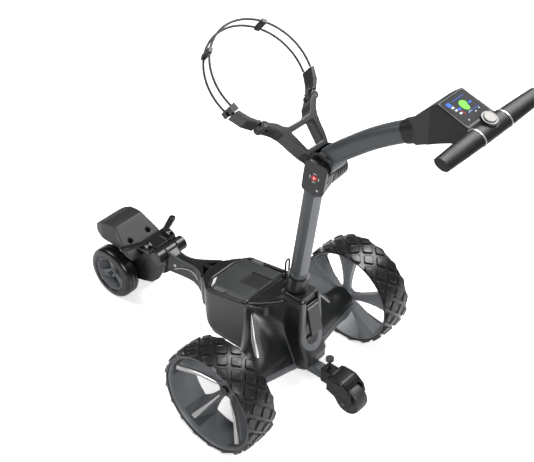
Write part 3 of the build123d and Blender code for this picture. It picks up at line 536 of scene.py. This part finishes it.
def bay_lip():
    """Raised lip round the battery bay."""
    outline = round_poly(both_halves([(-66, 80), (61, 80.5), (84, 41)]), 10, 5)
    path = [vec(p.x, p.y, tub_top(p.x) - 0.5) for p in lay(outline, LID, 0)]
    rings = []
    for i, center in enumerate(path):
        along = (path[(i + 1) % len(path)] - path[i - 1]).normalized()
        outward = vec(along.y, -along.x, 0).normalized()
        rings.append(ellipse(center, outward, Z, 4.6, 4.0, 10))
    return cut_each(mesh_from([loft(rings, closed=True)]),
                    [*BAY_CUTS, box(57, 93, -66, 66, 248, 330)])


add_mesh("bay_lip", bay_lip(), "chassis", "body_black", angle=50)

# ---------------------------------------------------------------- trim laid on the hull
hull_tree = BVHTree.FromPolygons([v.co for v in hull.vertices],
                                 [tuple(p.vertices) for p in hull.polygons])


def on_hull(point, height):
    """The nearest point of the hull's skin, raised by a height."""
    spot, normal, _, _ = hull_tree.find_nearest(Vector(to_frame(point)))
    x, y, z = spot + normal * (height * MM)
    return vec(x / MM - X_SHIFT, y / MM, z / MM)


def skin_ribbon(path, half_width, shoulder, crown, fall, power, edge_drop):
    """Strip crowned over the skin; half_width is a function of the way along, 0 to 1."""
    rings = []
    for i, point in enumerate(path):
        middle = on_hull(point, 0)
        normal = (on_hull(point, 4) - middle).normalized()
        across = direction(path, i).cross(normal).normalized()
        width = half_width(i / (len(path) - 1))
        ring = [on_hull(middle + across * (width * k), crown - fall * abs(k) ** power)
                - normal * (0 if abs(k) < 1 else edge_drop)
                for k in (-1, -shoulder, -0.3, 0.3, shoulder, 1)]
        rings.append(ring + [middle - normal * 3])
    return loft(rings)


def flash_width(t):
    end = 1 if t < 0.93 else (1 - t) / 0.07 * 0.6 + 0.4
    return 1.2 + 6.0 * math.sin(min(1, t * 1.15) * math.pi * 0.5) * end


def surround_width(t):
    return 9.4 - 4.8 * (abs(t - 0.5) * 2) ** 2


# Paths are x, y, z. Band over the back of the spine, down its left side
SURROUND = [(-62, 27.5, 316), (-66, 29, 290), (-69, 30.5, 250), (-72, 31.5, 217), (-79, 29, 196),
            (-85, 21, 182), (-87, 10, 175)]
# Strip down the left shoulder, and line along the left of the neck
FLASH = [(50, 92, 262), (36, 108, 244), (22, 119, 222), (4, 129, 202), (-12, 137, 184)]
NECK_LINE = [(393, 16.6, 170), (381, 16.2, 178), (367, 16.4, 186), (352, 16.9, 192.5),
             (337, 18.0, 197), (320, 20.6, 198.5), (308, 24, 197), (296, 28.6, 193)]

surround = skin_ribbon(
    smooth_path(SURROUND + [(-87.5, 0, 173)] + [(x, -y, z) for x, y, z in reversed(SURROUND)], 6),
    surround_width, shoulder=0.8, crown=2.2, fall=0.9, power=4, edge_drop=2.4)
add_piece("latch_surround", [surround], "chassis", "slate_light", "slate_trim",
          replaces=("rear_trim",), angle=50)
flash = skin_ribbon(smooth_path(FLASH, 6), flash_width, shoulder=0.75, crown=1.6, fall=1.9,
                    power=3, edge_drop=1.0)
neck_line = tube(smooth_path(NECK_LINE, 5), 1.7, 10)
add_piece("silver_inserts", [flash, mirror(flash), neck_line, mirror(neck_line)], "chassis",
          "silver_insert", replaces=("trim_inserts",), angle=50)

# ---------------------------------------------------------------- neck
# Neck stations: x, top z, bottom z, half width at top, half width at bottom
NECK = [(246, 235, 134, 50, 47), (266, 232, 138, 46, 43.5), (284, 229, 156, 35, 31),
        (303, 225, 162, 26, 24), (325, 219, 163, 18.4, 18.6), (350, 211.5, 160, 13, 17.2),
        (375, 207, 155.5, 11.2, 16.5), (395, 208, 152.5, 12.5, 17), (412, 214, 151.5, 16, 18.6),
        (424, 219, 160, 18.6, 18.8)]
NECK_END = (431, 204)  # x, z of the barrel at the front end
NECK_STUD = [(0.5, 15.6), (4.6, 15.6), (4.6, 17.6), (3.8, 18.3), (2.2, 18.3), (1.8, 17.4),
             (0.5, 17.2)]  # radius, y
# Left rail along the neck's top edge: x, y, z
NECK_RAIL = [(418, 15.6, 214.5), (400, 12.4, 208), (376, 11.2, 205.5), (350, 12.8, 209.5),
             (324, 17.8, 217), (303, 24.8, 223), (286, 33, 226.5), (273, 40.5, 228)]


def neck_ring(x, top, bottom, half_top, half_bottom):
    waist, waist_z = half_bottom * 0.98, (top + bottom) / 2 - 4
    outline = round_poly([(half_bottom, bottom), (waist, waist_z), (half_top, top),
                          (-half_top, top), (-waist, waist_z), (-half_bottom, bottom)], 5, 4)
    return [vec(x, y, z) for y, z in outline]


neck = fuse([loft([neck_ring(*station) for station in NECK]),
             cylinder(*NECK_END, 19.6, -19.4, 19.4)], voxel=1.6, smooth=5)
# Flat rear end, two wedge pockets in the top, and a bore through the front barrel
neck = cut_each(neck, [
    box(200, 250, -80, 80, 90, 270),
    prism([(298, -6), (264, -38), (262, -9)], TOP_VIEW, 196, 250),
    prism([(298, 6), (262, 9), (264, 38)], TOP_VIEW, 196, 250),
    cylinder(*NECK_END, 5.0, -30, 30)])
add_mesh("neck_skin", neck, "chassis", "body_black", replaces=("neck_beam",), angle=45)
stud = revolve(NECK_STUD, 393, 182, 32)
add_piece("neck_studs", [stud, mirror(stud)], "chassis", "silver_insert", angle=50)
rail = tube(smooth_path(NECK_RAIL, 5), 2.6, 12)
add_piece("neck_rails", [rail, mirror(rail)], "chassis", "slate_trim", angle=60)

# ---------------------------------------------------------------- battery
# Half outlines on the lid plane: along, across
CASE_HALF = [(-63, 73.8), (57.8, 73.8), (80.6, 38)]
CASE_TOP_HALF = [(-58, 64), (51, 64), (70, 33)]
CHAMFER_FOOT, CASE_TOP = -8.0, 0.2  # heights on the lid plane

case_outline = round_poly(both_halves(CASE_HALF), 3, 3)
case_top = round_poly(both_halves(CASE_TOP_HALF), 3, 3)
case = mesh_from([loft([lay(case_outline, LID, -100), lay(case_outline, LID, CHAMFER_FOOT),
                        lay(case_top, LID, CASE_TOP)])])
case = cut_each(case, [prism(round_poly(rect(-90, 4, -30, 22), 3), LID, -4.5, 6),
                       box(56.5, 72.5, -70.5, -46, 235, 320)])
add_mesh("battery_case", case, "battery", "battery_grey", replaces=("battery_pack",), bevel=0.9,
         angle=30)
clip = round_poly([(6, 66.5), (44, 66.5), (42, 79.5), (9, 79.5)], 2.5, 3)
add_piece("battery_clips", [prism(clip, LID, -9.2, -1.0), prism(flip(clip), LID, -9.2, -1.0)],
          "battery", "clip_grey", "battery_grey", bevel=0.8)


def on_chamfer(along, across, height):
    """Point over the lid's front-left chamfer; along and across run from 0 to 1."""
    low = vec(*CASE_HALF[1], CHAMFER_FOOT).lerp(vec(*CASE_HALF[2], CHAMFER_FOOT), along)
    high = vec(*CASE_TOP_HALF[1], CASE_TOP).lerp(vec(*CASE_TOP_HALF[2], CASE_TOP), along)
    spot = low.lerp(high, across)
    return lay([(spot.x, spot.y)], LID, spot.z + height)[0]


# Along, across the chamfer
CHAMFER_MARK = [(0.10, 0.10), (0.90, 0.10), (0.92, 0.30), (0.88, 0.93), (0.14, 0.93),
                (0.08, 0.30)]
add_piece("battery_marks", [loft([[on_chamfer(a, b, height) for a, b in CHAMFER_MARK]
                                  for height in (-0.8, 0.45)])],
          "battery", "white_mark", "battery_grey", bevel=0.15)
add_piece("battery_floor", [prism(round_poly(rect(-59, 1, -27, 19), 3), LID, -4.6, -3.6)],
          "battery", "battery_dark", "battery_grey", bevel=0.4)

# ---------------------------------------------------------------- drive wheels
TYRE_IN, TYRE_OUT = 217.0, 309.0  # y of the left tyre's faces
TYRE_MID = (TYRE_IN + TYRE_OUT) / 2
TYRE_HALF = (TYRE_OUT - TYRE_IN) / 2
BEAD_R = 131.0
BLOCK_PITCH, BLOCKS_ROUND = 24.5, 18  # spacing of the columns, blocks in each
BLOCK_H = 5.1
BLOCK_OUTLINE = [((a - b) * 0.707, (a + b) * 0.707) for a, b in rounded_rect(13.2, 13.2, 4.5, 3)]
# Block rings from the root to the dished face: outline scale, height over the tread
BLOCK_RINGS = [(1.05, -1.2), (0.97, BLOCK_H - 0.5), (0.93, BLOCK_H), (0.84, BLOCK_H),
               (0.77, BLOCK_H - 1.2), (0.3, BLOCK_H - 1.0)]
# Spoke stations: radius, inner half width, outer half width, inner y, outer y
SPOKE = [(12, 12, 13, 219, 240.5), (24, 11, 10, 220.5, 241.5), (45, 10.5, 7.5, 222.5, 246),
         (70, 13, 8, 223, 254.5), (95, 18, 9.5, 223, 266.5), (114, 24, 8, 222.5, 278),
         (128.8, 31, 9, 221.5, 287)]
SPOKE_ANGLES = [math.radians(16 + 72 * k) for k in range(5)]


def crown(y):
    """Tread surface radius at a distance from the mid-plane, without the blocks."""
    t = abs(y) / TYRE_HALF
    return 139.8 - 2.6 * t ** 2 - 1.2 * t ** 4


def tread_block(angle, column_y):
    """Diamond block: a rounded square standing on its corner, with a dished face."""
    def on_tread(u, v, height):
        y = max(-45.3, min(45.3, column_y + v))
        radius = crown(y) + height
        a = angle + u / 143.0  # 143 mm turns distance round the tread into an angle
        return vec(radius * math.cos(a), TYRE_MID + y, AXLE_Z + radius * math.sin(a))
    return loft([[on_tread(u * scale, v * scale, height) for u, v in BLOCK_OUTLINE]
                 for scale, height in BLOCK_RINGS])


def drive_tyre():
    shoulder = [(131.6, 0.8), (133.2, 0), (136.4, 0.3)]  # radius, distance in from the face
    profile = [(BEAD_R, TYRE_IN + 3)] + [(r, TYRE_IN + d) for r, d in shoulder]
    for k in range(13):
        y = -45.0 + 90.0 * k / 12
        profile.append((crown(y), TYRE_MID + y))
    profile += [(r, TYRE_OUT - d) for r, d in reversed(shoulder)] + [(BEAD_R, TYRE_OUT - 3)]
    parts = [revolve(profile, 0, AXLE_Z, 144)]
    for column in range(4):
        for k in range(BLOCKS_ROUND):
            angle = 2 * math.pi * (k + 0.5 * (column % 2)) / BLOCKS_ROUND
            parts.append(tread_block(angle, (column - 1.5) * BLOCK_PITCH))
    return parts


def wheel_point(angle, radius, across, y):
    """Point at a radius along a spoke's angle, shifted across the spoke."""
    c, s = math.cos(angle), math.sin(angle)
    return vec(radius * c - across * s, y, AXLE_Z + radius * s + across * c)


def spoke(angle):
    rings = []
    for radius, w_in, w_out, y_in, y_out in SPOKE:
        half = [(w_in * 0.55, y_in - 0.5), (w_in, y_in + 3),
                ((w_in + w_out) / 2, (y_in + y_out) / 2), (w_out, y_out - 4),
                (w_out * 0.5, y_out - 0.8)]
        section = ([(0, y_in - 1.5)] + half + [(0, y_out)]
                   + [(-w, y) for w, y in reversed(half)])
        rings.append([wheel_point(angle, radius, w, y) for w, y in section])
    return loft(rings)


def drive_rim(side):
    spokes = fuse(on_side([cylinder(0, AXLE_Z, 23, 219, 240.6)]
                          + [spoke(angle) for angle in SPOKE_ANGLES], side), voxel=1.7, smooth=4)
    inside, = on_side([cylinder(0, AXLE_Z, 129.2, TYRE_IN + 1, TYRE_OUT - 1, 96)], side)
    bore, = on_side([cylinder(0, AXLE_Z, 8.1, 214, 262)], side)
    spokes = boolean(boolean(spokes, inside, "INTERSECT"), bore)
    profile = [(BEAD_R, TYRE_IN + 3), (BEAD_R, TYRE_OUT - 3), (129.4, TYRE_OUT - 2.2),
               (127.6, TYRE_OUT - 4), (127.0, TYRE_OUT - 9), (127.2, TYRE_MID),
               (127.0, TYRE_IN + 9), (127.8, TYRE_IN + 4)]
    barrel = mesh_from(on_side([revolve(profile, 0, AXLE_Z, 144)], side))
    bm = bmesh.new()
    bm.from_mesh(spokes)
    bm.from_mesh(barrel)
    rim = bpy.data.meshes.new("rim")
    bm.to_mesh(rim)
    bm.free()
    return rim


def foot_plate(angle):
    """Thin curved plate inside the barrel at a spoke's foot."""
    outline = round_poly([(-27, 232), (27, 232), (30, 293), (-30, 293)], 2.0, 2)
    return loft([[wheel_point(angle + t / 127.0, radius, 0, y) for t, y in outline]
                 for radius in (127.6, 126.4)])


for name, side in SIDES:
    wheel = "drive_wheel_" + name
    add_piece("tread_tyre_" + name, on_side(drive_tyre(), side), wheel, "tyre",
              replaces=("drive_tyre_" + name,), angle=30)
    add_mesh("spoked_rim_" + name, drive_rim(side), wheel, "rim_grey",
             replaces=("drive_rim_" + name,), angle=45)
    add_piece("foot_plates_" + name, on_side([foot_plate(a) for a in SPOKE_ANGLES], side), wheel,
              "plate_grey", "rim_grey", angle=40)

# ---------------------------------------------------------------- front wheels
# Tyre profile with two grooves and a rib: radius, y
SMALL_TYRE = [
    (51, 32), (52, 30.6), (60, 30), (68, 30.8), (73, 33.5), (75.6, 37.5), (76, 42), (76, 45.0),
    (75.4, 45.4), (73.6, 45.6), (73.6, 46.8), (75.4, 47), (76, 47.5), (76, 58.2), (75.4, 58.6),
    (73.6, 58.8), (73.6, 60.0), (75.4, 60.2), (76, 60.6), (76, 64), (75.6, 68.5), (73, 72.6),
    (68, 75.2), (60, 76), (56.5, 75.6), (55.6, 74.4), (53.6, 74.4), (52.8, 75.4), (52, 75.2),
    (51, 74)]
for name, side in SIDES:
    add_piece("small_tyre_" + name, on_side([revolve(SMALL_TYRE, 598, 76, 96)], side),
              "front_wheel_" + name, "tyre_gloss", "tyre", replaces=("front_tyre_" + name,),
              angle=40)

# ---------------------------------------------------------------- mast, leaning back
MAST_LEAN = math.radians(8.2)
MAST_FOOT = vec(-23, 0, 375)
MAST_UP = vec(-math.sin(MAST_LEAN), 0, math.cos(MAST_LEAN))
MAST_FORE = vec(math.cos(MAST_LEAN), 0, math.sin(MAST_LEAN))
# Pole profile: distance up the mast, radius
POLE = [(-38, 19.8), (-38, 21.4), (-37.4, 22), (-2, 22), (6, 22), (8, 21.5), (10, 22), (140, 22),
        (270, 22), (317.4, 22), (318, 21.4), (318, 19.8), (-36, 19.8)]
# Panel stations: distance up the mast, degrees trimmed from each edge
PANEL = [(14, 6), (18, 1), (262, 1), (266, 6)]


def panel_ring(up, trim):
    first, last = 132 + trim, 192 - trim
    angles = [math.radians(first + (last - first) * k / 8) for k in range(9)]
    return [MAST_FOOT + MAST_UP * up + (MAST_FORE * math.cos(a) + Y * math.sin(a)) * radius
            for radius, arc in ((22.9, angles), (21.3, angles[::-1])) for a in arc]


pole = loft([ellipse(MAST_FOOT + MAST_UP * up, MAST_FORE, Y, r, r, 64) for up, r in POLE],
            closed=True)
add_piece("mast_pole", [pole], "mast", "slate_metal", replaces=("mast_tube",), angle=40)
add_piece("mast_panel", [loft([panel_ring(*station) for station in PANEL])], "mast", "rim_grey",
          "slate_metal", angle=40)

# ---------------------------------------------------------------- handset marks
# The handset's face looks left, its long axis following the mast
FACE_TURN = math.radians(10)
face_normal = vec(-math.sin(FACE_TURN), math.cos(FACE_TURN), 0)
face_up = (MAST_UP - face_normal * MAST_UP.dot(face_normal)).normalized()
FACE = (vec(-95.5, 42.0, 710.0), face_up.cross(face_normal).normalized(), face_up, face_normal)
PAD_CENTER = (0, 2)

add_piece("pad_marks", [prism(arc_band(10.2, 12.6, a - 22, a + 22, PAD_CENTER, 6), FACE, 0.3, 0.9)
                        for a in (0, 90, 180, 270)], "remote_pad", "button_pale", bevel=0.15)
add_piece("stop_mark", [prism(arc_band(0.4, 2.1, 0, 356, PAD_CENTER, 20), FACE, 1.08, 1.5)],
          "remote_stop", "white_mark", "button_red")
add_piece("case_mark", [prism(arc_band(0.3, 3.0, 0, 356, (12, -29), 20), FACE, -0.3, 0.35)],
          "remote", "button_pale", "body_black", bevel=0.1)
add_piece("case_rim", [prism(round_poly(rect(-25.5, 25.5, -39.5, 39.5), 9, 5), FACE, -0.3, 0.3)],
          "remote", "body_black", bevel=0.25)

# ---------------------------------------------------------------- display picture
SCREEN_TILT = math.radians(17.3)
SCREEN = (vec(-428.5, 0, 1012.4), vec(-math.cos(SCREEN_TILT), 0, -math.sin(SCREEN_TILT)), Y,
          vec(-math.sin(SCREEN_TILT), 0, math.cos(SCREEN_TILT)))
BLOB = [(-17, -2), (-14, -9), (-7, -12), (0, -10), (4, -11), (10, -11), (15, -7), (15, 0),
        (10, 6), (3, 9), (-5, 11), (-12, 9), (-16, 4)]


def patch(outline, bottom=-0.25, top=0.35):
    return prism(outline, SCREEN, bottom, top)


def tile(a0, a1, b0, b1, radius=0.8, **heights):
    return patch(round_poly(rect(a0, a1, b0, b1), radius, 2), **heights)


def add_picture(name, parts, mat):
    add_piece(name, parts, "handle", mat, "glass_screen")


def green_blob():
    """The blob turned about 18 degrees, then squeezed and moved off centre."""
    turned = [(a * 0.95 - b * 0.31, a * 0.31 + b * 0.95) for a, b in BLOB]
    return patch(round_poly([(a * 0.80 - 5, b * 0.88 - 3) for a, b in turned], 5, 3))


def crescent():
    outer = [(math.radians(110 + 22 * i), 1.0) for i in range(7)]
    inner = [(math.radians(242 - 22 * i), 0.78) for i in range(7)]
    return patch([(16 + 5.5 * math.cos(q) * k, 5.5 * math.sin(q) * k) for q, k in outer + inner])


add_picture("screen_green", [green_blob()], "px_green")
add_picture("screen_blue", [
    tile(-28, -18, 19.5, 29.5), tile(-6.5, -1.5, 10, 17), tile(-6.5, -2.5, -25.5, -17.5),
    tile(-25.5, -24.7, -26, 12, 0.2), tile(12, 12.7, -30, 6, 0.2)], "px_blue")
add_picture("screen_red", [
    tile(0, 11, 13.6, 14.6, 0.2), tile(-5.6, -4.6, -2.6, -1.6, 0.2, bottom=0.3, top=0.6)],
    "px_red")
add_picture("screen_pale", [
    tile(-16, -11.5, 19.5, 27), tile(-7.5, -3, 19, 26), tile(2.5, 7, 17, 24),
    tile(17, 20, -12.5, -9), tile(15, 18, -26, -23), tile(24, 27, 20, 23), crescent()], "px_pale")

# ---------------------------------------------------------------- hood over the anti-tip roller
HOOD = [(-149, 112), (-149, 126.8), (-186, 127.2), (-203, 118), (-204, 112), (-188, 118),
        (-172, 118)]  # x, z
add_piece("fork_hood", [prism(round_poly(HOOD, 3, 3), SIDE_VIEW, -23.4, 23.4)], "stabiliser",
          "fork_shaded_black", "body_black", bevel=0.8, angle=30)

# ---------------------------------------------------------------- CAD parts kept, finer edges
SLOTS = {row["node"]: row["material_slot"] for row in frame["record"]["subparts"]}
# Cast and moulded parts whose edges run together: voxel mm, smoothing passes
SOFT = {
    "base_shell": (1.6, 8), "bag_yoke": (1.3, 4), "display_housing": (1.5, 6),
    "mast_head": (1.3, 4), "stabiliser_fork": (1.3, 4), "yoke_tip_left": (1.0, 3),
    "yoke_tip_right": (1.0, 3), "base_leg": (1.3, 3), "strap_lever_left": (0.8, 3),
    "strap_lever_right": (0.8, 3), "rear_trim": (1.0, 3), "front_rim_left": (1.2, 2),
    "front_rim_right": (1.2, 2)}
# Bevel widths in mm, 0.5 for the rest
EDGE = {
    "hand_grips": 3.5, "remote_case": 1.6, "fold_latch": 1.2, "lock_knob": 1.0,
    "speed_dial": 0.6, "dial_cap": 0.8, "cord_latch": 1.4, "cord_joiners": 1.2, "mast_foot": 1.2,
    "locking_screw": 0.8, "grip_bands": 0.8, "stabiliser_tube": 1.0, "stabiliser_roller": 0.8,
    "spoke_blades_left": 0.6, "spoke_blades_right": 0.6}
# Materials that differ from the slot's own
LOOK = {
    "stabiliser_fork": "fork_shaded_black", "display_housing": "house_black",
    "base_shell": "base_lit_black", "rear_trim": "slate_light", "lever_brackets": "body_black",
    "remote_pad": "battery_dark", "dial_cap": "dial_silver", "head_pins": "plate_grey",
    "front_pins": "plate_grey", "stabiliser_axle": "plate_grey", "fold_pins": "plate_grey"}


def dress_part(name, ob):
    ob.data.materials.clear()
    ob.data.materials.append(MATERIALS[LOOK.get(name, SLOTS[name])])
    if "custom_normal" in ob.data.attributes:
        ob.data.attributes.remove(ob.data.attributes["custom_normal"])
    ob.modifiers.new("join", "WELD").merge_threshold = 0.00002
    if name in SOFT:
        voxel, passes = SOFT[name]
        skin = ob.modifiers.new("skin", "REMESH")
        skin.mode, skin.voxel_size, skin.use_smooth_shade = "VOXEL", voxel * MM, True
        soften = ob.modifiers.new("soften", "SMOOTH")
        soften.factor, soften.iterations = 0.5, passes
    else:
        for p in ob.data.polygons:
            p.use_smooth = True
        add_bevel(ob, EDGE.get(name, 0.5), angle=32)


for name, ob in frame["nodes"].items():
    if not ob.hide_render:
        dress_part(name, ob)


# ---------------------------------------------------------------- floor, light, camera (metres)
def floor_material():
    """Near-white and matt, lifted only where the camera sees it directly."""
    mat = bpy.data.materials.new("floor")
    mat.use_nodes = True
    tree = mat.node_tree
    link = tree.links.new
    shader = tree.nodes["Principled BSDF"]
    shader.inputs["Base Color"].default_value = (0.93, 0.93, 0.93, 1)
    shader.inputs["Roughness"].default_value = 0.9
    shader.inputs["Specular IOR Level"].default_value = 0.1
    lift = add_node(tree, "Emission")
    ray = add_node(tree, "LightPath")
    total = add_node(tree, "AddShader")
    strength = add_node(tree, "Math", {1: 0.45})
    strength.operation = "MULTIPLY"
    link(ray.outputs["Is Camera Ray"], strength.inputs[0])
    link(strength.outputs[0], lift.inputs["Strength"])
    link(shader.outputs[0], total.inputs[0])
    link(lift.outputs[0], total.inputs[1])
    link(total.outputs[0], tree.nodes["Material Output"].inputs["Surface"])
    return mat


floor_mesh = bpy.data.meshes.new("floor")
floor_mesh.from_pydata([(x, y, -0.0005) for x, y in rect(-9, 9, -9, 9)], [], [(0, 1, 2, 3)])
floor = link_object("floor", floor_mesh)
floor_mesh.materials.append(floor_material())

# White to the camera, dim as a light
world = bpy.data.worlds.new("studio")
bpy.context.scene.world = world
world.use_nodes = True
background = world.node_tree.nodes["Background"]
background.inputs[0].default_value = (1, 1, 1, 1)
world_ray = add_node(world.node_tree, "LightPath")
world_level = add_node(world.node_tree, "MapRange", {"To Min": 0.13, "To Max": 1.0})
world.node_tree.links.new(world_ray.outputs["Is Camera Ray"], world_level.inputs["Value"])
world.node_tree.links.new(world_level.outputs[0], background.inputs[1])


def area_light(name, location, size, power):
    light = bpy.data.lights.new(name, "AREA")
    light.size, light.energy, light.shape = size, power, "SQUARE"
    ob = link_object(name, light)
    ob.location = location
    ob.rotation_mode = "QUATERNION"
    aim = vec(0.0, 0.0, 0.3) - Vector(location)
    ob.rotation_quaternion = aim.to_track_quat("-Z", "Y")


area_light("key", location=(-0.1, -1.7, 2.8), size=1.7, power=112)
area_light("left", location=(-2.3, 1.5, 2.3), size=1.0, power=72)
area_light("back", location=(-2.7, 0.1, 2.3), size=1.3, power=26)
area_light("front", location=(1.9, 0.9, 2.5), size=1.6, power=40)
bpy.context.scene.view_settings.view_transform = "Standard"

# The camera looks down from behind and to the left
camera_back = vec(-0.5227, 0.5919, 0.6136).normalized()
camera_data = bpy.data.cameras.new("camera")
camera_data.lens, camera_data.sensor_width = 83.20, 36.0
camera_data.clip_start, camera_data.clip_end = 0.05, 50
camera = link_object("camera", camera_data)
camera.location = to_frame((-1478.6, 1764.4, 2279.6))
camera.rotation_mode = "QUATERNION"
camera.rotation_quaternion = (-camera_back).to_track_quat("-Z", "Y")
bpy.context.scene.camera = camera
